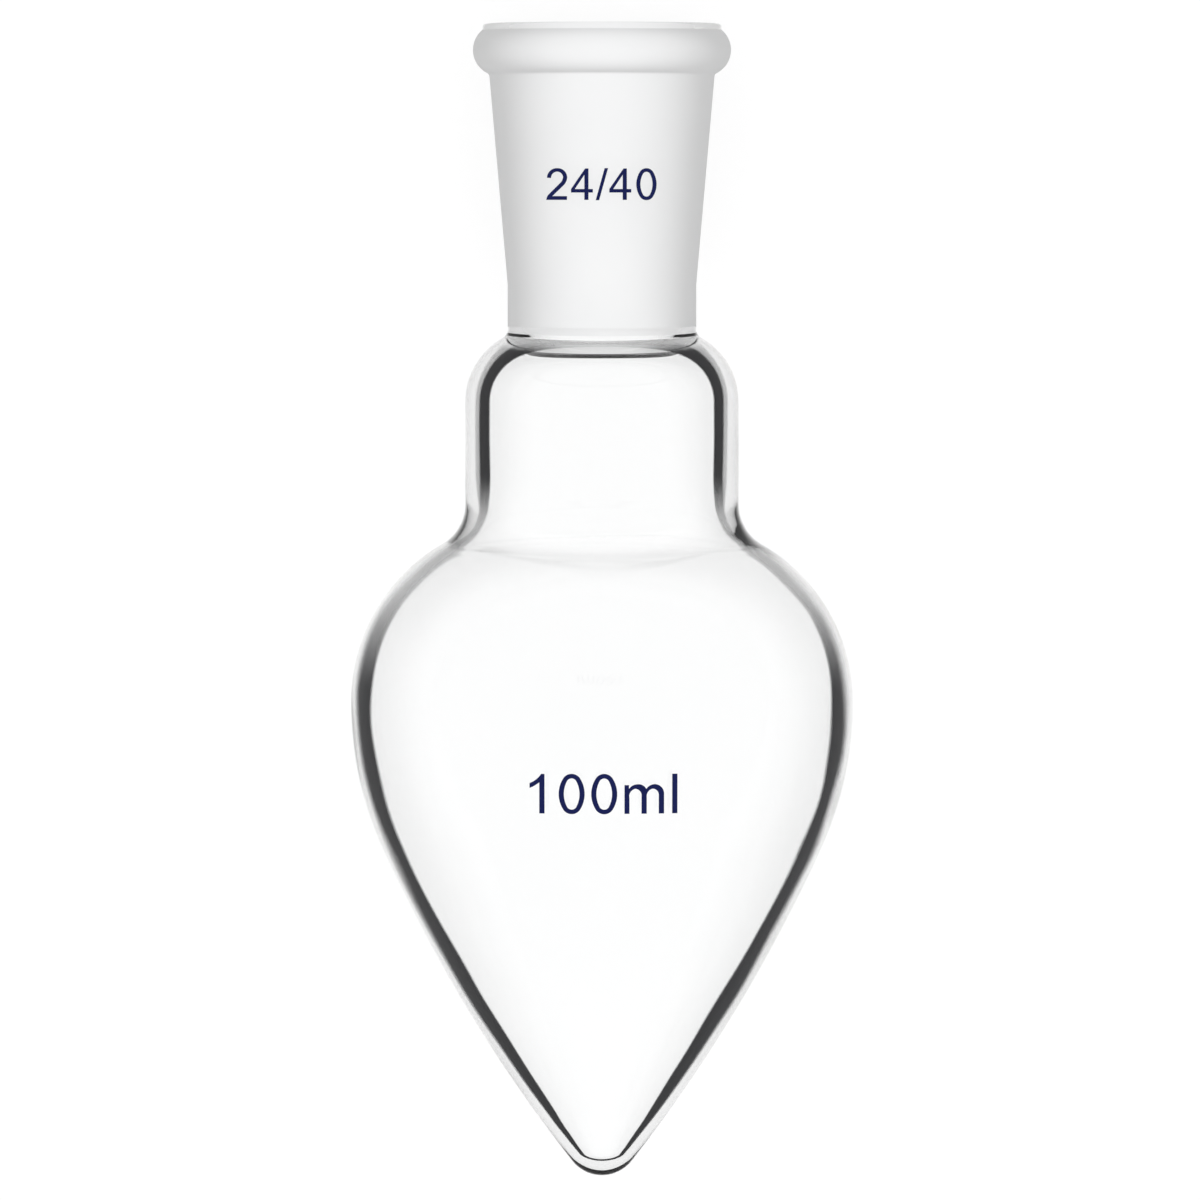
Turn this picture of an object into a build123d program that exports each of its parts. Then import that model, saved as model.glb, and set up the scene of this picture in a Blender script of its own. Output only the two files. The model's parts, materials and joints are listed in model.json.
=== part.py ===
from build123d import *
from math import asin, atan2, cos, degrees, sin, sqrt
import os

os.makedirs("parts", exist_ok=True)

# A pear-shaped flask of clear glass: a blown pear, with a ground socket sealed to its neck.
# Its pointed bottom can't stand, so it lies on a table, on its belly and the bead of its mouth.
# The mouth is towards +Y and the bottom towards -Y, and the table is at Z = 0.
# Sizes are in millimetres. Heights run along the flask's own axis, from its tip to its mouth.

# The pear: a round tip, a nearly straight flank, a belly and a steep shoulder
tip_radius = 4.85
flank_radius = 200.0
belly_diameter = 64.0
belly_height = 60.5
lower_belly_radius = 45.0
shoulder_radius = 23.3

# The neck: a hollow fillet out of the shoulder, a straight tube and a round cap
neck_diameter = 34.8
neck_length = 13.0
neck_root_radius = 6.0
neck_cap_radius = 9.3

# The ground socket: 24 mm wide at the mouth, 40 mm deep, narrowing by 1 in 10
socket_diameter = 24.0
socket_depth = 40.0
socket_taper = 1 / 10

# The throat: a short straight way from the foot of the socket into the cap of the neck
throat_length = 1.2
throat_rounding = 0.6

# The tube round the socket: a straight stub above the cap, then a cone up to the bead
stub_wall = 2.0
stub_length = 6.9
stub_root_radius = 1.2
tube_wall_at_bead = 2.6

# The bead round the mouth and the flat lip on top of it
bead_radius = 3.3
bead_overhang = 1.8
bead_root_radius = 0.5
lip_step = 1.2
lip_height = 0.8
lip_root_radius = 0.3
lip_rounding = 0.4
socket_mouth_rounding = 0.4

# The glass is thickest in the neck, in its cap and at the tip
belly_wall = 1.8
tip_wall = 2.0
tip_side_wall = 1.25
neck_wall = 2.5
cap_wall = 2.1

# Distances from the axis
belly_reach = belly_diameter / 2
shoulder_centre_reach = belly_reach - shoulder_radius
neck_reach = neck_diameter / 2
socket_reach = socket_diameter / 2
throat_reach = (socket_diameter - socket_depth * socket_taper) / 2
stub_reach = throat_reach + stub_wall
tube_reach = socket_reach + tube_wall_at_bead
bead_reach = tube_reach + bead_overhang
bead_centre_reach = bead_reach - bead_radius
lip_reach = bead_reach - lip_step


def neck_root_centre(wall, neck, root):
    """Find the middle of the fillet that joins the shoulder to a neck, as reach and height."""
    reach = neck + root
    from_shoulder = shoulder_radius - wall + root
    rise = sqrt(from_shoulder**2 - (reach - shoulder_centre_reach) ** 2)
    return Vector(reach, belly_height + rise)


def centre_between(first, first_distance, second, second_distance):
    """Find the point at these two distances, to the left on the way from first to second."""
    way = second - first
    ahead = (first_distance**2 - second_distance**2 + way.length**2) / (2 * way.length)
    aside = sqrt(first_distance**2 - ahead**2)
    forward = way.normalized()
    left = Vector(-forward.Y, forward.X)
    return first + forward * ahead + left * aside


def rise_of_circle(radius, aside):
    """Find how far a circle rises above its middle, this far to the side of it."""
    return sqrt(radius**2 - max(0, aside) ** 2)


def half_pear(foot, tip, wall, neck, root, cap):
    """Make half of a pear, this wall inside the glass, from its foot to its cap and down its axis."""
    tip_centre = Vector(0, foot + tip)
    belly_centre = Vector(belly_reach - lower_belly_radius, belly_height)
    shoulder_centre = Vector(shoulder_centre_reach, belly_height)
    root_centre = neck_root_centre(wall, neck, root)
    flank = flank_radius - wall
    lower_belly = lower_belly_radius - wall
    flank_centre = centre_between(tip_centre, flank - tip, belly_centre, flank - lower_belly)

    tip_end = tip_centre + (tip_centre - flank_centre).normalized() * tip
    flank_end = belly_centre + (belly_centre - flank_centre).normalized() * lower_belly
    to_root = (root_centre - shoulder_centre).normalized()
    shoulder_end = shoulder_centre + to_root * (shoulder_radius - wall)

    with BuildSketch() as pear:
        with BuildLine():
            bottom = TangentArc((0, foot), tip_end, tangent=(1, 0))
            side = TangentArc(bottom @ 1, flank_end, tangent=bottom % 1)
            belly = TangentArc(side @ 1, (belly_reach - wall, belly_height), tangent=side % 1)
            shoulder = TangentArc(belly @ 1, shoulder_end, tangent=(0, 1))
            hollow = TangentArc(shoulder @ 1, (neck, root_centre.Y), tangent=shoulder % 1)
            straight = Line(hollow @ 1, (neck, neck_top))
            top = TangentArc(straight @ 1, (neck - cap, neck_top + cap), tangent=(0, 1))
            Polyline(top @ 1, (0, neck_top + cap), (0, foot))
        make_face()
    return pear.sketch


# Heights up the axis, each from the one below it
neck_top = neck_root_centre(0, neck_reach, neck_root_radius).Y + neck_length
stub_root = neck_top + rise_of_circle(neck_cap_radius, stub_reach - neck_reach + neck_cap_radius)
hollow_neck_reach = neck_reach - neck_wall
hollow_cap_radius = neck_cap_radius - cap_wall
throat_aside = throat_reach - hollow_neck_reach + hollow_cap_radius
throat_foot = neck_top + rise_of_circle(hollow_cap_radius, throat_aside)
socket_foot = throat_foot + throat_length
stub_top = socket_foot + stub_length
mouth = socket_foot + socket_depth
bead_height = mouth - lip_height - rise_of_circle(bead_radius, lip_reach - bead_centre_reach)

# The table touches the shoulder's arc and the bead's, so the axis leans down to the mouth
centres_rise = bead_height - belly_height
centres_step = bead_centre_reach - shoulder_centre_reach
lean = asin((shoulder_radius - bead_radius) / sqrt(centres_rise**2 + centres_step**2))
lean = lean - atan2(centres_step, centres_rise)
tip_above_table = belly_height * sin(lean) + shoulder_centre_reach * cos(lean) + shoulder_radius

# The origin is on the table, under the middle of the flask's length
behind_tip = tip_radius * (1 - cos(lean))
lip_corner = Vector(lip_reach - lip_rounding, mouth - lip_rounding)
lip_ahead = lip_corner.Y * cos(lean) + lip_corner.X * sin(lean) + lip_rounding
bead_ahead = bead_height * cos(lean) + bead_centre_reach * sin(lean) + bead_radius
tip_back = (max(lip_ahead, bead_ahead) - behind_tip) / 2

along_flask = Vector(0, cos(lean), -sin(lean))
out_of_table = Vector(0, sin(lean), cos(lean))
tip_place = Vector(0, -tip_back, tip_above_table)
lying = Plane(origin=tip_place, x_dir=(1, 0, 0), z_dir=out_of_table)

# Half a section through the glass, from the axis outwards
with BuildSketch() as glass:
    add(half_pear(0, tip_radius, 0, neck_reach, neck_root_radius, neck_cap_radius))
    with BuildLine():
        Polyline(
            (0, neck_top),
            (stub_reach, neck_top),
            (stub_reach, stub_top),
            (tube_reach, bead_height),
            (0, bead_height),
            close=True,
        )
    make_face()
    with Locations((bead_centre_reach, bead_height)):
        Circle(bead_radius)
    with Locations((0, mouth)):
        Rectangle(lip_reach, mouth - bead_height, align=(Align.MIN, Align.MAX))
        Rectangle(bead_reach, bead_radius, align=(Align.MIN, Align.MIN), mode=Mode.SUBTRACT)

    # The sharp corners where the cap, the tube, the bead and the lip meet are melted round
    roots = [
        ((stub_reach, stub_root), stub_root_radius),
        ((tube_reach, bead_height - bead_radius), bead_root_radius),
        ((lip_reach, mouth - lip_height), lip_root_radius),
        ((lip_reach, mouth), lip_rounding),
    ]
    for corner, rounding in roots:
        fillet(glass.vertices().sort_by_distance(corner)[0], radius=rounding)

    # The hollow is a smaller pear, with the throat and the socket's cone let down into its cap
    hollow = half_pear(
        foot=tip_wall,
        tip=tip_radius - tip_side_wall,
        wall=belly_wall,
        neck=hollow_neck_reach,
        root=neck_root_radius + neck_wall,
        cap=hollow_cap_radius,
    )
    add(hollow, mode=Mode.SUBTRACT)
    with BuildLine():
        Polyline(
            (0, neck_top),
            (throat_reach, neck_top),
            (throat_reach, socket_foot),
            (socket_reach, mouth),
            (0, mouth),
            close=True,
        )
    make_face(mode=Mode.SUBTRACT)
    edges_of_socket = [
        ((socket_reach, mouth), socket_mouth_rounding),
        ((throat_reach, throat_foot), throat_rounding),
    ]
    for corner, rounding in edges_of_socket:
        fillet(glass.vertices().sort_by_distance(corner)[0], radius=rounding)

# The pear is blown with its neck, and open at the top of the neck
with BuildPart() as pear:
    with BuildSketch(lying):
        add(glass.sketch)
        Rectangle(belly_reach, neck_top, align=(Align.MIN, Align.MIN), mode=Mode.INTERSECT)
    revolve(axis=Axis(tip_place, along_flask))

# The socket is drawn with the round cap by which it is sealed to the neck
with BuildPart() as socket:
    with BuildSketch(lying):
        add(glass.sketch)
        with Locations((0, mouth)):
            Rectangle(neck_reach, mouth - neck_top, align=(Align.MIN, Align.MAX), mode=Mode.INTERSECT)
    revolve(axis=Axis(tip_place, along_flask))

pear.part.label = "pear"
export_step(pear.part, "parts/pear.step")
socket.part.label = "socket"
export_step(socket.part, "parts/socket.step")

print(f"height {mouth:.2f} mm, lying {degrees(lean):.2f} degrees off level")
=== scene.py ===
# %% [markdown]
# # A pear-shaped flask of clear glass
#
# A distilling flask of 100 ml, blown like a pear that hangs from its stalk. Its mouth is a
# ground socket, in which the cone of a condenser or a still head sits tight. The bottom is a
# point, so nothing is left behind when it is boiled dry, and so the flask can't stand: it
# lies on its belly and on the bead of its mouth.
#
# The CAD model gives the true shape and place. Here the glass is turned once more as a fine
# even mesh, because glass bends light, and the eye follows every facet that bends it wrongly.

import json
from math import asin, ceil, cos, degrees, pi, radians, sin, sqrt, tan

import bmesh
import bpy
from mathutils import Matrix, Vector


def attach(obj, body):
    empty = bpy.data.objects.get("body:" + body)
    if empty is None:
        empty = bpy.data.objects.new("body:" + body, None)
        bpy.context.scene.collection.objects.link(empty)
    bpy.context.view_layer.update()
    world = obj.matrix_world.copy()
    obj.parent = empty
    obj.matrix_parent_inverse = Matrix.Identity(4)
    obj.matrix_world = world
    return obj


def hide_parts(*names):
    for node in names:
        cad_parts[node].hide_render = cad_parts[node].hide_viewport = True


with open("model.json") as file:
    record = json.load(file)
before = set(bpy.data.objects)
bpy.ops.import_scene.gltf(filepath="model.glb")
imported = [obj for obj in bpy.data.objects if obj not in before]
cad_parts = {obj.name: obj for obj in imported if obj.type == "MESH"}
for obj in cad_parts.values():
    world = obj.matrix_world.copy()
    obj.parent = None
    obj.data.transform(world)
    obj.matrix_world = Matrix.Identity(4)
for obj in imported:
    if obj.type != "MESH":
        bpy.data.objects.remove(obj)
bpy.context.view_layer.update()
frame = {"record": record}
bpy.ops.object.select_all(action="DESELECT")

# %% [markdown]
# ## Where the flask lies
#
# The record of the CAD model says where the mouth is and which way the axis runs. Everything
# is first made upright, with the tip of the flask at the origin and its mouth up the Z axis,
# as on a glass blower's drawing. One matrix then lays it down. It keeps X, turns up into
# along the flask, and the front into up from the table.

# %% Find the flask's axis and the matrix that lays it down
MM = 0.001
FLASK_HEIGHT = 146.868 * MM

mounts = {mount["name"]: mount for mount in frame["record"]["mounts"]}
mouth_place = Vector(mounts["socket"]["pos_m"])
along_flask = Vector(mounts["socket"]["axis"]).normalized()
tip_place = mouth_place - along_flask * FLASK_HEIGHT
lean = asin(-along_flask.z)

lay_down = Matrix.Translation(tip_place) @ Matrix.Rotation(-pi / 2 - lean, 4, "X")
print(f"the axis leans {degrees(lean):.2f} degrees down to the mouth, tip at", tip_place)

# %% [markdown]
# ## The sizes of the glass
#
# The section is made of arcs that run into each other without a corner, so each arc is given
# by its radius, and the middles of the arcs follow from that. Distances from the axis are
# called a reach. The outside and the hollow are the same chain of arcs with other radii.

# %% Sizes of the glass
BELLY_REACH = 32.0 * MM
BELLY_HEIGHT = 60.5 * MM
LOWER_BELLY_RADIUS = 45.0 * MM
FLANK_RADIUS = 200.0 * MM
SHOULDER_RADIUS = 23.3 * MM
TIP_RADIUS = 4.85 * MM
NECK_REACH = 17.4 * MM
NECK_LENGTH = 13.0 * MM
NECK_ROOT_RADIUS = 6.0 * MM
CAP_RADIUS = 9.3 * MM

BELLY_WALL = 1.8 * MM
NECK_WALL = 2.5 * MM
CAP_WALL = 2.1 * MM
TIP_WALL = 2.0 * MM
TIP_SIDE_WALL = 1.25 * MM

SOCKET_REACH = 12.0 * MM
THROAT_REACH = 10.0 * MM
THROAT_LENGTH = 1.2 * MM
SOCKET_DEPTH = 40.0 * MM
STUB_REACH = 12.0 * MM
STUB_LENGTH = 6.9 * MM
TUBE_REACH = 14.6 * MM
BEAD_REACH = 16.4 * MM
BEAD_RADIUS = 3.3 * MM
LIP_REACH = 15.2 * MM
LIP_HEIGHT = 0.8 * MM


# %% [markdown]
# ## Drawing with two operators
#
# In edit mode a single point is enough to start a drawing. Extruding it draws a straight
# line, and spinning it about a middle draws an arc. Both leave the last point selected, so
# the next stroke starts where the last one ended, and the pencil never leaves the paper.

# %% A pencil that draws lines and arcs
STROKE_STEP = 1.2 * MM
ARC_STEP = radians(6)


def put_pencil(at):
    """Start a drawing with one point in the XZ plane, and give back where it is."""
    bpy.ops.mesh.select_all(action="DESELECT")
    bpy.ops.mesh.primitive_plane_add(size=MM, location=(0, 0, 0))
    bpy.ops.mesh.merge(type="CENTER")
    bpy.ops.transform.translate(value=(at[0], 0, at[1]))
    return Vector(at)


def line_from(here, there):
    """Draw a straight line in equal steps, and give back where it ends."""
    way = Vector(there) - here
    steps = ceil(way.length / STROKE_STEP)
    for _ in range(steps):
        move = {"value": (way.x / steps, 0, way.y / steps)}
        bpy.ops.mesh.extrude_region_move(TRANSFORM_OT_translate=move)
    return Vector(there)


def arc_from(here, there, middle):
    """Draw an arc about its middle, and give back where it ends."""
    first = here - Vector(middle)
    last = Vector(there) - Vector(middle)
    angle = first.angle_signed(last)
    steps = ceil(max(abs(angle) * first.length / STROKE_STEP, abs(angle) / ARC_STEP))
    spin_middle = (middle[0], 0, middle[1])
    bpy.ops.mesh.spin(steps=steps, angle=angle, center=spin_middle, axis=(0, -1, 0))
    return Vector(there)


# %% [markdown]
# ## Where one arc hands over to the next
#
# Two arcs run into each other without a corner where the line through both middles cuts them.
# So the middles are all that has to be found. The flank's middle is far out on the other side,
# as far from the tip's and the belly's middles as the difference of the radii says.

# %% Find the middles of the arcs
SHOULDER_MIDDLE = Vector((BELLY_REACH - SHOULDER_RADIUS, BELLY_HEIGHT))
BELLY_MIDDLE = Vector((BELLY_REACH - LOWER_BELLY_RADIUS, BELLY_HEIGHT))


def beyond(middle, other, radius):
    """Find the point this far past a middle, on the line that comes from another middle."""
    return middle + (middle - other).normalized() * radius


def middle_between(first, first_distance, second, second_distance):
    """Find the point at these distances, to the left on the way from first to second."""
    way = second - first
    ahead = (first_distance**2 - second_distance**2 + way.length_squared) / (2 * way.length)
    aside = sqrt(first_distance**2 - ahead**2)
    forward = way.normalized()
    return first + forward * ahead + Vector((-forward.y, forward.x)) * aside


def root_middle(wall, neck, root):
    """Find the middle of the hollow arc that leads from the shoulder into the neck."""
    reach = neck + root
    aside = reach - SHOULDER_MIDDLE.x
    from_shoulder = SHOULDER_RADIUS - wall + root
    return Vector((reach, BELLY_HEIGHT + sqrt(from_shoulder**2 - aside**2)))


NECK_TOP = root_middle(0, NECK_REACH, NECK_ROOT_RADIUS).y + NECK_LENGTH
print(f"the neck is straight up to {NECK_TOP / MM:.2f} mm")

# %% [markdown]
# ## One pear inside the other
#
# A glass blower thinks in one wall, but the render needs both of its sides, because light bends
# at each. Solidify would make a wall of one thickness. Real glass is thicker in the neck and at
# the tip, so the outside and the hollow are drawn as two pears with the same strokes.

# %% Draw a pear from its tip up to the cap of its neck
def draw_pear(foot, tip, wall, neck, root, cap, top_reach):
    """Draw half a pear, this wall inside the glass, and give back where the pencil stops."""
    tip_middle = Vector((0, foot + tip))
    flank = FLANK_RADIUS - wall
    belly = LOWER_BELLY_RADIUS - wall
    flank_middle = middle_between(tip_middle, flank - tip, BELLY_MIDDLE, flank - belly)
    root_at = root_middle(wall, neck, root)
    cap_middle = Vector((neck - cap, NECK_TOP))
    top = cap_middle + Vector((top_reach - cap_middle.x, 0))
    top.y += sqrt(cap**2 - (top_reach - cap_middle.x) ** 2)

    at = put_pencil((0, foot))
    at = arc_from(at, beyond(tip_middle, flank_middle, tip), tip_middle)
    at = arc_from(at, beyond(BELLY_MIDDLE, flank_middle, belly), flank_middle)
    at = arc_from(at, (BELLY_REACH - wall, BELLY_HEIGHT), BELLY_MIDDLE)
    shoulder_end = beyond(SHOULDER_MIDDLE, 2 * SHOULDER_MIDDLE - root_at, SHOULDER_RADIUS - wall)
    at = arc_from(at, shoulder_end, SHOULDER_MIDDLE)
    at = arc_from(at, (neck, root_at.y), root_at)
    at = line_from(at, (neck, NECK_TOP))
    return arc_from(at, top, cap_middle)


# %% [markdown]
# ## The section of the whole flask
#
# The outside goes on from the cap up the stub, the tube, the round bead and the lip, and in over
# the mouth. The hollow goes on through the throat and up the ground cone. Both end on the same
# corner of the mouth, where merging doubles joins them.

# %% Draw the hollow
bpy.ops.mesh.primitive_plane_add(size=MM, location=(0, 0, 0))
flask = bpy.context.object
flask.name = "blown_flask"
bpy.ops.object.mode_set(mode="EDIT")
bpy.ops.mesh.delete(type="VERT")

hollow_neck = NECK_REACH - NECK_WALL
hollow_top = draw_pear(
    foot=TIP_WALL,
    tip=TIP_RADIUS - TIP_SIDE_WALL,
    wall=BELLY_WALL,
    neck=hollow_neck,
    root=NECK_ROOT_RADIUS + NECK_WALL,
    cap=CAP_RADIUS - CAP_WALL,
    top_reach=THROAT_REACH,
)
socket_foot = hollow_top + Vector((0, THROAT_LENGTH))
mouth = socket_foot.y + SOCKET_DEPTH
at = line_from(hollow_top, socket_foot)
at = line_from(at, (SOCKET_REACH, mouth))
print(f"the hollow ends at the mouth, {mouth / MM:.3f} mm up")

# %% Draw the outside
stub_root = draw_pear(
    foot=0, tip=TIP_RADIUS, wall=0, neck=NECK_REACH, root=NECK_ROOT_RADIUS,
    cap=CAP_RADIUS, top_reach=STUB_REACH,
)
stub_top = Vector((STUB_REACH, socket_foot.y + STUB_LENGTH))
lip_root = Vector((LIP_REACH, mouth - LIP_HEIGHT))
bead_middle = Vector((BEAD_REACH - BEAD_RADIUS, 0))
bead_middle.y = lip_root.y - sqrt(BEAD_RADIUS**2 - (LIP_REACH - bead_middle.x) ** 2)
up_the_tube = (Vector((TUBE_REACH, bead_middle.y)) - stub_top).normalized()
tube_length = (bead_middle - stub_top).dot(up_the_tube)
tube_aside = (bead_middle - stub_top - up_the_tube * tube_length).length
bead_root = stub_top + up_the_tube * (tube_length - sqrt(BEAD_RADIUS**2 - tube_aside**2))

at = line_from(stub_root, stub_top)
at = line_from(at, bead_root)
at = arc_from(at, lip_root, bead_middle)
at = line_from(at, (LIP_REACH, mouth))
at = line_from(at, (SOCKET_REACH, mouth))
bpy.ops.mesh.select_all(action="SELECT")
bpy.ops.mesh.remove_doubles(threshold=0.01 * MM)
print(f"{len(flask.data.vertices)} points in the section")

# %% [markdown]
# ## Corners melted round
#
# The burner leaves no sharp corner on glass. A vertex bevel rounds a corner of a drawing before
# it is turned, which is cheaper and cleaner than an edge bevel afterwards. Its offset is the
# distance from the corner to where the round starts, so it follows from the wanted radius and
# from how much the drawing turns at that corner.

# %% Round the corners of the section
def corner_of(mesh, at):
    """Find the point of the drawing that is nearest to this reach and height."""
    place = Vector((at[0], 0, at[1]))
    return min(mesh.verts, key=lambda point: (point.co - place).length)


def round_corner(at, radius):
    """Round one corner of the drawing, and give back how far the round starts from it."""
    mesh = bmesh.from_edit_mesh(flask.data)
    bpy.ops.mesh.select_all(action="DESELECT")
    corner = corner_of(mesh, at)
    before, after = [edge.other_vert(corner).co - corner.co for edge in corner.link_edges]
    offset = radius / tan(before.angle(after) / 2)
    corner.select = True
    mesh.select_flush_mode()
    bpy.ops.mesh.bevel(offset=offset, segments=4, affect="VERTICES")
    return offset


corners = {
    "stub root": (stub_root, 1.2 * MM),
    "bead root": (bead_root, 0.5 * MM),
    "lip root": (lip_root, 0.3 * MM),
    "lip": ((LIP_REACH, mouth), 0.4 * MM),
    "socket mouth": ((SOCKET_REACH, mouth), 0.4 * MM),
    "throat": (hollow_top, 0.5 * MM),
}
for name, (corner_at, rounding) in corners.items():
    print(f"{name}: round starts {round_corner(corner_at, rounding) / MM:.2f} mm from the corner")

# %% [markdown]
# ## Turn the section into glass
#
# Spinning the drawing once round the Z axis makes both walls in one go, as a lathe does. The
# first and last copies lie on each other, and so do all copies of the two points on the axis,
# so doubles are merged. That closes the seam and the poles. Then the normals are made to point
# out of the glass, which for the inner wall is into the hollow.

# %% Spin the section and close it
TURN_STEPS = 256

bpy.ops.mesh.select_all(action="SELECT")
bpy.ops.mesh.spin(steps=TURN_STEPS, angle=2 * pi, center=(0, 0, 0), axis=(0, 0, 1))
bpy.ops.mesh.select_all(action="SELECT")
bpy.ops.mesh.remove_doubles(threshold=0.002 * MM)
bpy.ops.mesh.normals_make_consistent(inside=False)
bpy.ops.mesh.select_all(action="DESELECT")
bpy.ops.object.mode_set(mode="OBJECT")
bpy.ops.object.shade_smooth()
print(f"{len(flask.data.polygons)} faces of glass")

# %% [markdown]
# ## Walls that were blown, not machined
#
# The outside of a flask is smoothed in the flame, but the inside is only blown, and its wall is
# a little thicker here and thinner there. The eye reads that in the wavering dark edges. So the
# inner wall alone is displaced by soft clouds, and the ground cone and the mouth, which fit a
# standard cone, stay true. A vertex group says where, and how much near the ends.

# %% Let the inner wall waver
WAVER = 0.16 * MM
WAVE_SIZE = 16 * MM
AXIS_CLEAR = 4 * MM
TIP_CLEAR = 8 * MM
THROAT_CLEAR = 3 * MM
FADE = 8 * MM

inner = flask.vertex_groups.new(name="inner_wall")
for point in flask.data.vertices:
    into_hollow = point.normal.xy.dot(point.co.xy) < 0 or point.normal.z > 0.5
    off_the_ends = point.co.xy.length > AXIS_CLEAR and point.co.z > TIP_CLEAR
    below_throat = hollow_top.y - point.co.z - THROAT_CLEAR
    if into_hollow and off_the_ends and below_throat > 0:
        inner.add([point.index], min(1.0, below_throat / FADE), "REPLACE")

clouds = bpy.data.textures.new("clouds_in_wall", "CLOUDS")
clouds.noise_scale = WAVE_SIZE
clouds.noise_depth = 1
waver = flask.modifiers.new("waver", "DISPLACE")
waver.texture = clouds
waver.strength = WAVER
waver.vertex_group = "inner_wall"
bpy.ops.object.modifier_apply(modifier=waver.name)
flask.vertex_groups.clear()
print("from crest to hollow the inner wall wavers by up to", WAVER / MM, "mm")

# %% [markdown]
# ## Shader maths that reads as Python
#
# A material is a net of nodes. Most of its nodes are plain sums, and a net of sums is hard to
# read. A small class wraps an output socket and overloads the signs, so that 1 - mask adds its
# own Math node. Every other node comes from one method, which sets the node up and fills in its
# sockets, with a number or with a wire from another node.

# %% A wire between nodes, and a finish made of nodes
class Wire:
    """An output socket that takes part in sums. Each sign adds one Math node."""

    def __init__(self, finish, socket):
        self.finish = finish
        self.socket = socket

    def combine(self, operation, first, second):
        setting = {"operation": operation}
        return self.finish.node("ShaderNodeMath", setting, {0: first, 1: second})

    def __add__(self, other):
        return self.combine("ADD", self, other)

    def __sub__(self, other):
        return self.combine("SUBTRACT", self, other)

    def __mul__(self, other):
        return self.combine("MULTIPLY", self, other)

    def __radd__(self, other):
        return self.combine("ADD", other, self)

    def __rsub__(self, other):
        return self.combine("SUBTRACT", other, self)

    def __rmul__(self, other):
        return self.combine("MULTIPLY", other, self)


class Finish:
    """A material, with one method that adds a node and gives back the wire that leaves it."""

    def __init__(self, name):
        self.material = bpy.data.materials.new(name)
        self.material.use_nodes = True
        self.tree = self.material.node_tree
        self.tree.nodes.clear()

    def node(self, kind, settings, sockets, out=0):
        """Add a node: its settings first, then the numbers and wires of its sockets."""
        new = self.tree.nodes.new(kind)
        for name, value in settings.items():
            setattr(new, name, value)
        for name, value in sockets.items():
            if isinstance(value, Wire):
                self.tree.links.new(value.socket, new.inputs[name])
            else:
                new.inputs[name].default_value = value
        return Wire(self, new.outputs[out])

    def show(self, surface):
        """Send a shader to the material's output."""
        output = self.tree.nodes.new("ShaderNodeOutputMaterial")
        self.tree.links.new(surface.socket, output.inputs["Surface"])
        print(f"{self.material.name}: {len(self.tree.nodes)} nodes")
        return self.material


# %% [markdown]
# ## Masks, places and mixes
#
# A mask is a value from 0 to 1 that says where something shows. Most masks rise smoothly between
# two limits, which Map Range does, and end in a Mix node. Noise is read at the place on the
# standing flask, in metres, so a grain keeps its size wherever the flask lies.

# %% Helpers for masks, places and mixes
def rise(value, low, high):
    """Turn a value into a mask that rises smoothly from 0 at low to 1 at high."""
    setting = {"interpolation_type": "SMOOTHSTEP"}
    sockets = {"Value": value, "From Min": low, "From Max": high}
    return value.finish.node("ShaderNodeMapRange", setting, sockets)


def upright(finish):
    """Give object coordinates as on the standing flask: Z up its axis, its tip at the origin."""
    place = finish.node("ShaderNodeTexCoord", {}, {}, "Object")
    sockets = {"Vector": place, "Location": tip_place, "Rotation": (-pi / 2 - lean, 0, 0)}
    return finish.node("ShaderNodeMapping", {"vector_type": "TEXTURE"}, sockets)


def clouds_of(finish, place, size, detail=2.0):
    """Give soft clouds of about this size in metres, as a value from 0 to 1."""
    sockets = {"Vector": place, "Scale": 1 / size, "Detail": detail}
    return finish.node("ShaderNodeTexNoise", {}, sockets, "Fac")


def tint(finish, mask, first, second):
    """Mix two colours by a mask. A Mix node has its colours at inputs 6 and 7, and output 2."""
    sockets = {0: mask, 6: (*first, 1), 7: (*second, 1)}
    return finish.node("ShaderNodeMix", {"data_type": "RGBA"}, sockets, 2)


def mix_shaders(finish, mask, first, second):
    """Mix two shaders by a mask."""
    return finish.node("ShaderNodeMixShader", {}, {0: mask, 1: first, 2: second})


def light_passes(finish, surface, share):
    """Let this share of the light shine straight through a glass surface onto the paper."""
    through = finish.node("ShaderNodeBsdfTransparent", {}, {"Color": (share, share, share, 1)})
    from_paper = finish.node("ShaderNodeLightPath", {}, {}, "Is Diffuse Ray")
    in_shadow = finish.node("ShaderNodeLightPath", {}, {}, "Is Shadow Ray")
    seen = mix_shaders(finish, from_paper, surface, through)
    return mix_shaders(finish, in_shadow, seen, through)


# %% [markdown]
# ## Clear glass
#
# Clear glass on a white ground is drawn by its edges alone. Light that comes in near the edge
# meets the inner wall so flat that it can't get out into the hollow, and is thrown aside. In a
# studio the sides are dark, and the edge shows as a dark band a little way in from the outline.
# On a pale floor there is no dark side to throw it to, so the band is painted shade, put where it
# is born: a dark surface is mixed into the inner wall, seen from within the glass, flatter than
# the angle of total reflection.

# %% Clear glass
GLASS_INDEX = 1.473
LET_THROUGH = 0.995
STREAK = 12 * MM


def facing_of(finish):
    """Give how much a wall turns away from the eye: 0 straight on, 1 along the wall."""
    return finish.node("ShaderNodeLayerWeight", {}, {"Blend": 0.5}, "Facing")


def clear_glass_of(finish, place):
    """Make the plain clear glass of both walls."""
    cloud = clouds_of(finish, place, STREAK)
    sockets = {
        "Base Color": tint(finish, cloud, (0.99, 0.995, 0.995), (1.0, 1.0, 1.0)),
        "Roughness": 0.0,
        "IOR": GLASS_INDEX,
        "Transmission Weight": 1.0,
    }
    return finish.node("ShaderNodeBsdfPrincipled", {}, sockets)
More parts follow.
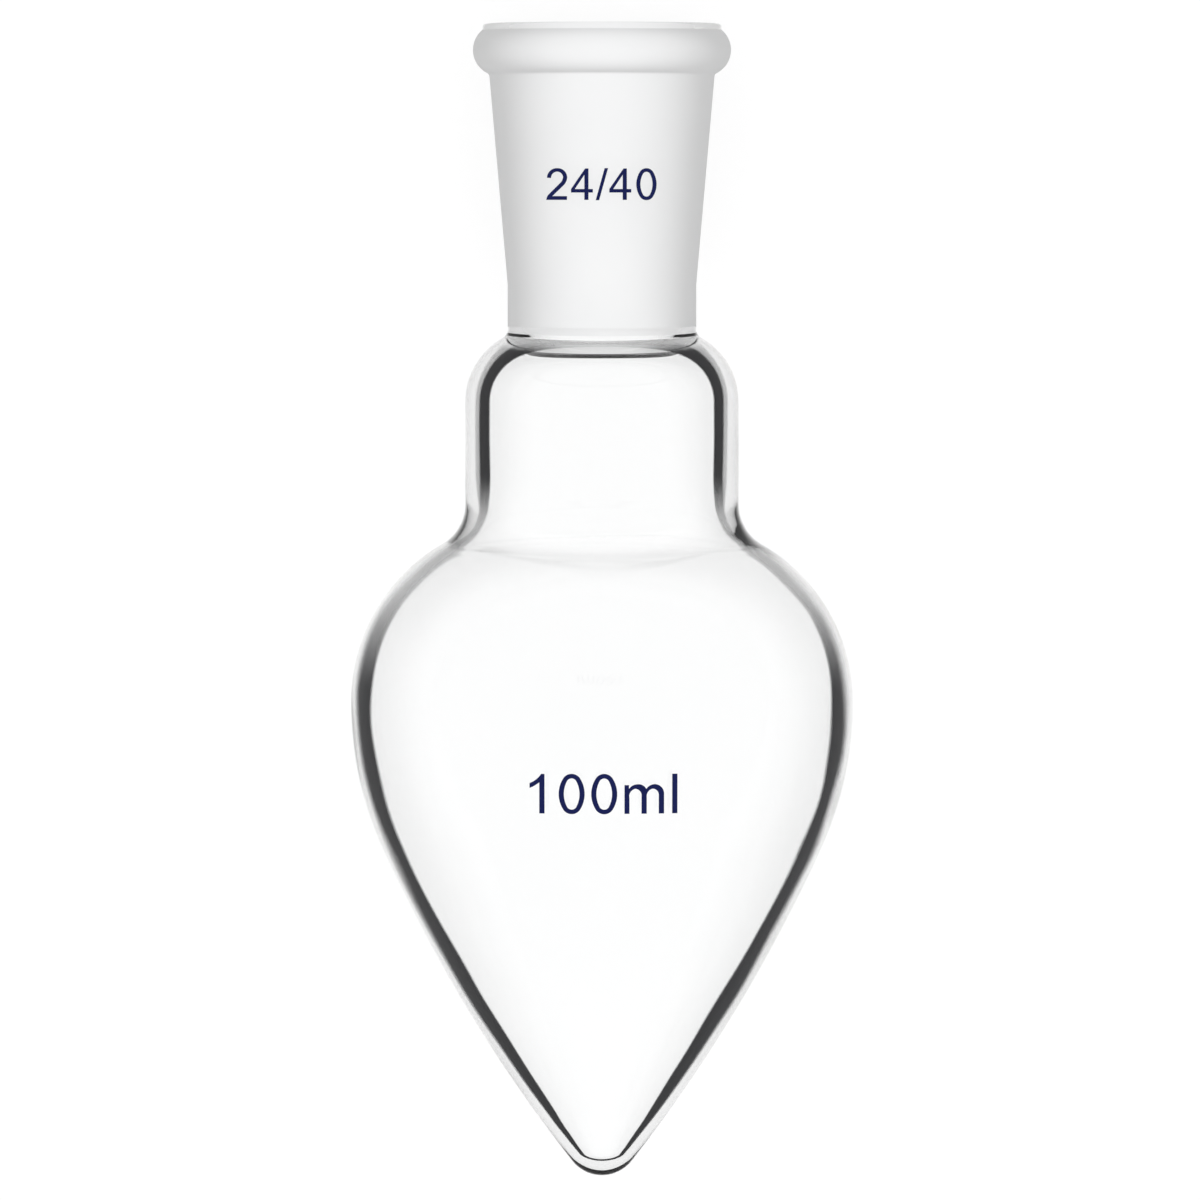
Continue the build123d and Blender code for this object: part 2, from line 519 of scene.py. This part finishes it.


# %% [markdown]
# ## The painted dark band on the inner wall
#
# The band starts at one facing and ends at another, so it is wide where the wall is curved little
# and narrow at the tip. In the neck, the shoulder and the flank it has its own width and depth,
# because the wall is thicker or thinner there, so masks on the height shift its two limits.
# A softer painted grey leads up to it from the middle of the flask.

# %% How much painted shade darkens the inner wall at the edge
# Painted shade: a dark surface mixed into the inner wall makes the band, and a soft grey leads up
# to it
PAINTED_BAND_DARK = (0.032, 0.032, 0.034)
BAND_START = (0.246, 0.258)
BAND_END = (0.276, 0.302)
NECK_LIGHTER_FROM = (0.286, 0.300)
PAINTED_SOFT_GREY = 0.15
PAINTED_SOFT_GREY_FROM = (0.10, 0.26)

inner_wall = Finish("clear_glass_inner_wall")
facing = facing_of(inner_wall)
from_within = inner_wall.node("ShaderNodeNewGeometry", {}, {}, "Backfacing")
place = upright(inner_wall)
height = inner_wall.node("ShaderNodeSeparateXYZ", {}, {0: place}, "Z")
in_neck = rise(height, 82 * MM, 90 * MM)
in_shoulder = rise(height, 62 * MM, 76 * MM) - in_neck
in_flank = 1 - rise(height, 18 * MM, 42 * MM)
by_throat = rise(height, 104.3 * MM, 105.3 * MM)

starts = rise(facing + 0.014 * in_neck + 0.018 * in_flank, *BAND_START)
ends = 1 - rise(facing - 0.030 * in_neck - 0.012 * in_flank, *BAND_END)
lighter = 1 - 0.45 * in_neck * rise(facing, *NECK_LIGHTER_FROM)
paler = (1 - 0.5 * in_shoulder) * (1 - 0.8 * by_throat)
painted_band = starts * lighter * ends * paler
# Painted shade: a soft grey that grows towards the edge of the inner wall
painted_soft_grey_edge = PAINTED_SOFT_GREY * rise(facing + 0.03 * in_neck, *PAINTED_SOFT_GREY_FROM)
# Painted shade: the band and the soft grey mix a dark diffuse surface into the clear glass
painted_darkness = from_within * painted_band.combine("MAXIMUM", painted_band, painted_soft_grey_edge)
painted_dark_surface = inner_wall.node("ShaderNodeBsdfDiffuse", {}, {"Color": (*PAINTED_BAND_DARK, 1)})
glass_with_painted_band = mix_shaders(inner_wall, painted_darkness, clear_glass_of(inner_wall, place), painted_dark_surface)
inner_wall_glass = inner_wall.show(light_passes(inner_wall, glass_with_painted_band, LET_THROUGH))

# %% [markdown]
# ## The outside, which mirrors little
#
# Glass mirrors what is around it. Round a flask on white paper that is a little greyer than the
# paper, and the mirror image would lie on the glass as a veil. So glass that only bends light is
# mixed in all over the middle, and the mirror stays at the very outline, where it is strongest.

# %% Clear glass outside
MIRROR_FROM = (0.74, 0.90)
MIRROR_TAKEN_OUT = 0.8

outer_wall = Finish("clear_glass_outer_wall")
facing = facing_of(outer_wall)
from_within = outer_wall.node("ShaderNodeNewGeometry", {}, {}, "Backfacing")
plain_glass = clear_glass_of(outer_wall, upright(outer_wall))
sockets = {"Roughness": 0.0, "IOR": GLASS_INDEX}
bend_only = outer_wall.node("ShaderNodeBsdfRefraction", {}, sockets)
no_mirror = MIRROR_TAKEN_OUT * (1 - from_within) * (1 - rise(facing, *MIRROR_FROM))
calm = mix_shaders(outer_wall, no_mirror, plain_glass, bend_only)
outer_wall_glass = outer_wall.show(light_passes(outer_wall, calm, LET_THROUGH))

# %% [markdown]
# ## Ground glass
#
# A joint is ground with wet grit, so the cone seals, and the grit leaves the glass frosted. A
# frosted wall blurs what is behind it and sends back white light. It looks whitest where it
# faces the eye, and greyer at the sides, where light leaves it aside. A low share of rough
# glass in a white surface does the first, and the grey at the sides is painted shade: a grey
# surface mixed in by Layer Weight.

# %% Ground glass of the socket
GRAIN = 0.12 * MM
PATCH = 9 * MM
FROST_LET_THROUGH = 0.96
# Painted shade: how much grey is mixed in at the sides of the ground glass, and at which facing
PAINTED_SIDE_SHADE = 0.42
PAINTED_SHADE_FACING = (-0.05, 0.62)

ground = Finish("ground_socket_glass")
place = upright(ground)
grain = clouds_of(ground, place, GRAIN, 3.0)
patches = clouds_of(ground, place, PATCH)
facing = facing_of(ground)
frost = ground.node(
    "ShaderNodeBsdfPrincipled",
    {},
    {
        "Base Color": tint(ground, patches, (0.86, 0.865, 0.87), (0.90, 0.90, 0.90)),
        "Roughness": 0.5 + 0.16 * grain,
        "IOR": GLASS_INDEX,
        "Transmission Weight": 0.3,
    },
)
# Painted shade: a grey surface mixed in by Layer Weight darkens the sides of the ground glass
painted_shade_and_enamel_clouds = ground.node("ShaderNodeBsdfDiffuse", {}, {"Color": (0.3, 0.3, 0.3, 1)})
frosted = mix_shaders(ground, PAINTED_SIDE_SHADE * rise(facing, *PAINTED_SHADE_FACING), frost, painted_shade_and_enamel_clouds)
ground_glass = ground.show(light_passes(ground, frosted, FROST_LET_THROUGH))

# %% [markdown]
# ## Three finishes on one piece of glass
#
# The flask stays one closed piece, because a seam inside the glass would bend light once more.
# So the finishes go on by face: the inner wall up to the foot of the socket, the ground cone and
# the frosted outside of tube and bead, and clear glass everywhere else.

# %% Say which faces are ground, and which are the inner wall
OUTER, INNER, GROUND = 0, 1, 2
FROST_ABOVE_ROOT = 1.0 * MM
POLISHED_MOUTH = 0.4 * MM

for finish in (outer_wall_glass, inner_wall_glass, ground_glass):
    flask.data.materials.append(finish)
for face in flask.data.polygons:
    height = face.center.z
    into_hollow = face.normal.xy.dot(face.center.xy) < 0
    if into_hollow and height < socket_foot.y:
        face.material_index = INNER
    elif into_hollow and height <= mouth - POLISHED_MOUTH:
        face.material_index = GROUND
    elif not into_hollow and stub_root.y + FROST_ABOVE_ROOT < height < lip_root.y:
        face.material_index = GROUND
    else:
        face.material_index = OUTER
wall_faces = [0, 0, 0]
for face in flask.data.polygons:
    wall_faces[face.material_index] += 1
print("faces of the outer wall, the inner wall and the ground socket:", wall_faces)

# %% [markdown]
# ## Signs for the print
#
# Flasks carry their size in fired enamel: the width and depth of the socket, and how much the
# flask holds. Blender's own font has a 1 without a flag, which nobody could read in front of
# two noughts, so the seven signs are drawn with the pencil. Each sign is one or two outlines on
# a grid on which a figure is 1 high. A third number bends the line that leads to a point: it is
# the radius, above 0 where the line turns left and below 0 where it turns right.

# %% Outlines of the signs
NOUGHT_OUTSIDE = [
    (0.613, 0.107, 0), (0.613, 0.893, 0.74), (0.191, 0.893, 0.25), (0.191, 0.107, 0.74),
    (0.613, 0.107, 0.25),
]
NOUGHT_INSIDE = [
    (0.517, 0.175, 0), (0.517, 0.825, 0.70), (0.287, 0.825, 0.13), (0.287, 0.175, 0.70),
    (0.517, 0.175, 0.13),
]
ONE = [
    (0.536, 0, 0), (0.536, 1.0, 0), (0.452, 1.0, 0), (0.164, 0.765, -0.60), (0.164, 0.640, 0),
    (0.406, 0.785, 0.90), (0.406, 0, 0), (0.536, 0, 0),
]
TWO = [
    (0.050, 0, 0), (0.710, 0, 0), (0.710, 0.12, 0), (0.240, 0.12, 0), (0.585, 0.45, 0),
    (0.716, 0.72, 0.38), (0.395, 1.01, 0.305), (0.070, 0.707, 0.315), (0.200, 0.693, 0),
    (0.400, 0.900, -0.20), (0.584, 0.712, -0.187), (0.500, 0.545, -0.30), (0.110, 0.160, 0),
    (0.050, 0, 0.30),
]
FOUR_OUTSIDE = [
    (0.455, 0, 0), (0.585, 0, 0), (0.585, 0.235, 0), (0.725, 0.235, 0), (0.725, 0.345, 0),
    (0.585, 0.345, 0), (0.585, 1.0, 0), (0.480, 1.0, 0), (0.028, 0.345, 0), (0.028, 0.235, 0),
    (0.455, 0.235, 0), (0.455, 0, 0),
]
FOUR_INSIDE = [(0.455, 0.345, 0), (0.455, 0.800, 0), (0.150, 0.345, 0), (0.455, 0.345, 0)]
SLASH = [
    (0.006, -0.01, 0), (0.115, -0.01, 0), (0.400, 1.01, 0), (0.291, 1.01, 0), (0.006, -0.01, 0),
]
SMALL_M = [
    (0.096, 0, 0), (0.220, 0, 0), (0.220, 0.40, 0), (0.365, 0.632, -0.19), (0.520, 0.44, -0.17),
    (0.520, 0, 0), (0.650, 0, 0), (0.650, 0.42, 0), (0.800, 0.632, -0.19), (0.950, 0.46, -0.16),
    (0.950, 0, 0), (1.082, 0, 0), (1.082, 0.50, 0), (0.845, 0.745, 0.24), (0.640, 0.625, 0.25),
    (0.415, 0.745, 0.22), (0.208, 0.630, 0.26), (0.208, 0.725, 0), (0.096, 0.725, 0), (0.096, 0, 0),
]
SMALL_L = [(0.090, 0, 0), (0.220, 0, 0), (0.220, 1.0, 0), (0.090, 1.0, 0), (0.090, 0, 0)]

# Each sign's width with its gaps, and its outlines
SIGNS = {
    "0": (0.81, [NOUGHT_OUTSIDE, NOUGHT_INSIDE]),
    "1": (0.81, [ONE]),
    "2": (0.81, [TWO]),
    "4": (0.81, [FOUR_OUTSIDE, FOUR_INSIDE]),
    "/": (0.413, [SLASH]),
    "m": (1.194, [SMALL_M]),
    "l": (0.31, [SMALL_L]),
}


def bend_from(here, there, radius):
    """Draw an arc of this radius, to the left if it is above 0, and give back where it ends."""
    if radius > 0:
        return arc_from(here, there, middle_between(here, radius, there, radius))
    return arc_from(here, there, middle_between(there, -radius, here, -radius))


def draw_outline(outline, left, foot, height):
    """Draw one closed outline of a sign, at this place and this high."""
    places = [Vector((left + x * height, foot + y * height)) for x, y, _ in outline]
    at = put_pencil(places[0])
    for place, (_, _, bend) in zip(places[1:], outline[1:]):
        at = bend_from(at, place, bend * height) if bend else line_from(at, place)


# %% [markdown]
# ## Print on a round wall
#
# The outlines are filled and cut into narrow strips both ways, so that the flat sign can bend.
# It is then thrown onto the glass from straight ahead by a Shrinkwrap modifier, which keeps its
# look from the front, and Solidify gives it the thickness of enamel.

# %% Print words on the glass
STRIP = 0.4 * MM
ENAMEL = 0.04 * MM
IN_FRONT = 60 * MM


def cut_in_strips(normal, low, high):
    """Cut what is in edit mode across into strips, from low to high along the normal."""
    strips = ceil((high - low) / STRIP)
    for step in range(1, strips):
        bpy.ops.mesh.select_all(action="SELECT")
        cut = Vector(normal) * (low + (high - low) * step / strips)
        bpy.ops.mesh.bisect(plane_co=cut, plane_no=normal)


def print_on_glass(name, words, foot, height):
    """Print words across the front of the flask, from this height up its axis."""
    bpy.ops.mesh.primitive_plane_add(size=MM, location=(0, 0, 0))
    text = bpy.context.object
    text.name = name
    bpy.ops.object.mode_set(mode="EDIT")
    bpy.ops.mesh.delete(type="VERT")
    left = -sum(SIGNS[sign][0] for sign in words) * height / 2
    for sign in words:
        advance, outlines = SIGNS[sign]
        for outline in outlines:
            draw_outline(outline, left, foot, height)
        left += advance * height
    bpy.ops.mesh.select_all(action="SELECT")
    bpy.ops.mesh.remove_doubles(threshold=0.005 * MM)
    bpy.ops.mesh.fill()
    cut_in_strips((1, 0, 0), -left, left)
    cut_in_strips((0, 0, 1), foot, foot + height)
    bpy.ops.mesh.select_all(action="SELECT")
    bpy.ops.transform.translate(value=(0, -IN_FRONT, 0))
    bpy.ops.object.mode_set(mode="OBJECT")

    wrap = text.modifiers.new("wrap", "SHRINKWRAP")
    wrap.target = flask
    wrap.wrap_method = "PROJECT"
    wrap.use_project_y = True
    wrap.offset = ENAMEL / 2
    bpy.ops.object.modifier_apply(modifier=wrap.name)
    thick = text.modifiers.new("thick", "SOLIDIFY")
    thick.thickness = ENAMEL
    bpy.ops.object.modifier_apply(modifier=thick.name)
    front = min(point.co.y for point in text.data.vertices)
    print(f"{name}: {len(text.data.polygons)} faces, foremost at {front / MM:.2f} mm")
    return text


# %% Print the size of the socket and of the flask
socket_print = print_on_glass("socket_size_print", "24/40", foot=124.5 * MM, height=3.95 * MM)
volume_print = print_on_glass("volume_print", "100ml", foot=48.25 * MM, height=5.0 * MM)

# %% [markdown]
# ## Navy enamel
#
# The print is ground glass with cobalt, fired at red heat. It lies on the wall as a thin satin
# film, a little thicker here and there, so clouds vary its blue and its gloss.

# %% Enamel of the print
enamel = Finish("navy_enamel")
place = upright(enamel)
painted_shade_and_enamel_clouds = clouds_of(enamel, place, 1.5 * MM, 4.0)
navy = enamel.node(
    "ShaderNodeBsdfPrincipled",
    {},
    {
        "Base Color": tint(enamel, painted_shade_and_enamel_clouds, (0.002, 0.005, 0.055), (0.004, 0.009, 0.080)),
        "Roughness": 0.4 + 0.2 * painted_shade_and_enamel_clouds,
        "Specular IOR Level": 0.15,
    },
)
navy_enamel = enamel.show(navy)
for words in (socket_print, volume_print):
    words.data.materials.append(navy_enamel)

# %% [markdown]
# ## Lay it down
#
# All pieces so far stand upright. The matrix turns their points, not their objects, so that each
# object stays at the origin, and every finish keeps measuring from the same place. The glass then
# rides on the one body of the flask, and takes the place of its two solids.

# %% Lay the flask on the table
for piece in (flask, socket_print, volume_print):
    piece.data.transform(lay_down)
    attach(piece, "root")
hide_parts("pear", "socket")

# %% [markdown]
# ## White paper
#
# A large sheet of white paper is both the table and the ground behind the flask. It goes far
# beyond the picture, so that the glass shows white wherever it bends the view.

# %% Floor of paper
PAPER_SIZE = 6

bpy.ops.mesh.primitive_plane_add(size=PAPER_SIZE, location=(0, 0, 0))
floor = bpy.context.object
floor.name = "floor"
paper = Finish("white_paper")
place = paper.node("ShaderNodeTexCoord", {}, {}, "Object")
fibres = clouds_of(paper, place, 40 * MM, 3.0)
sheet = paper.node(
    "ShaderNodeBsdfPrincipled",
    {},
    {
        "Base Color": tint(paper, fibres, (0.93, 0.93, 0.93), (0.95, 0.95, 0.95)),
        "Roughness": 0.8 + 0.1 * fibres,
        "Specular IOR Level": 0.1,
    },
)
floor.data.materials.append(paper.show(sheet))

# %% [markdown]
# ## Light from all around
#
# Glass on white is lit by a bright tent. The world is that tent, and one large soft lamp above
# gives the paper its shine. The lamp is hidden from the glass: its square would be seen in it.

# %% Lights
TENT_STRENGTH = 0.81
LAMP_HEIGHT = 1.6
LAMP_SIZE = 1.6
LAMP_WATTS = 10

world = bpy.data.worlds.new("studio")
bpy.context.scene.world = world
world.use_nodes = True
tent = world.node_tree.nodes["Background"]
tent.inputs["Color"].default_value = (1, 1, 1, 1)
tent.inputs["Strength"].default_value = TENT_STRENGTH
bpy.ops.object.light_add(type="AREA", location=(0, 0, LAMP_HEIGHT))
light = bpy.context.object
light.data.size = LAMP_SIZE
light.data.energy = LAMP_WATTS
light.visible_glossy = False
light.visible_transmission = False
print(f"a tent of strength {TENT_STRENGTH} and a lamp of {LAMP_WATTS} W")

# %% [markdown]
# ## Camera over the flask
#
# The flask lies 11 degrees off level, and the camera looks down nearly square to its axis, so
# the outline is true. A long lens far away keeps the width of the mouth and of the belly true.

# %% Camera
VIEW_TILT = lean + radians(2.5)
VIEW_DISTANCE = 1.2
VIEW_WIDTH = 152.9 * MM
VIEW_ASIDE = Vector((-0.25 * MM, 0, 0))
MIDDLE_HEIGHT = 73.55 * MM
SENSOR_WIDTH = 36

bpy.context.scene.view_settings.view_transform = "Standard"
bpy.ops.object.camera_add(location=(0, 0, 0))
camera = bpy.context.object
camera.rotation_euler.x = -VIEW_TILT
toward_camera = Vector((0, sin(VIEW_TILT), cos(VIEW_TILT)))
middle_of_flask = tip_place + along_flask * MIDDLE_HEIGHT
camera.location = middle_of_flask + toward_camera * VIEW_DISTANCE + VIEW_ASIDE
camera.data.sensor_width = SENSOR_WIDTH
camera.data.lens = SENSOR_WIDTH * VIEW_DISTANCE / VIEW_WIDTH
camera.data.clip_start = 0.01
bpy.context.scene.camera = camera
print("camera at", camera.location)
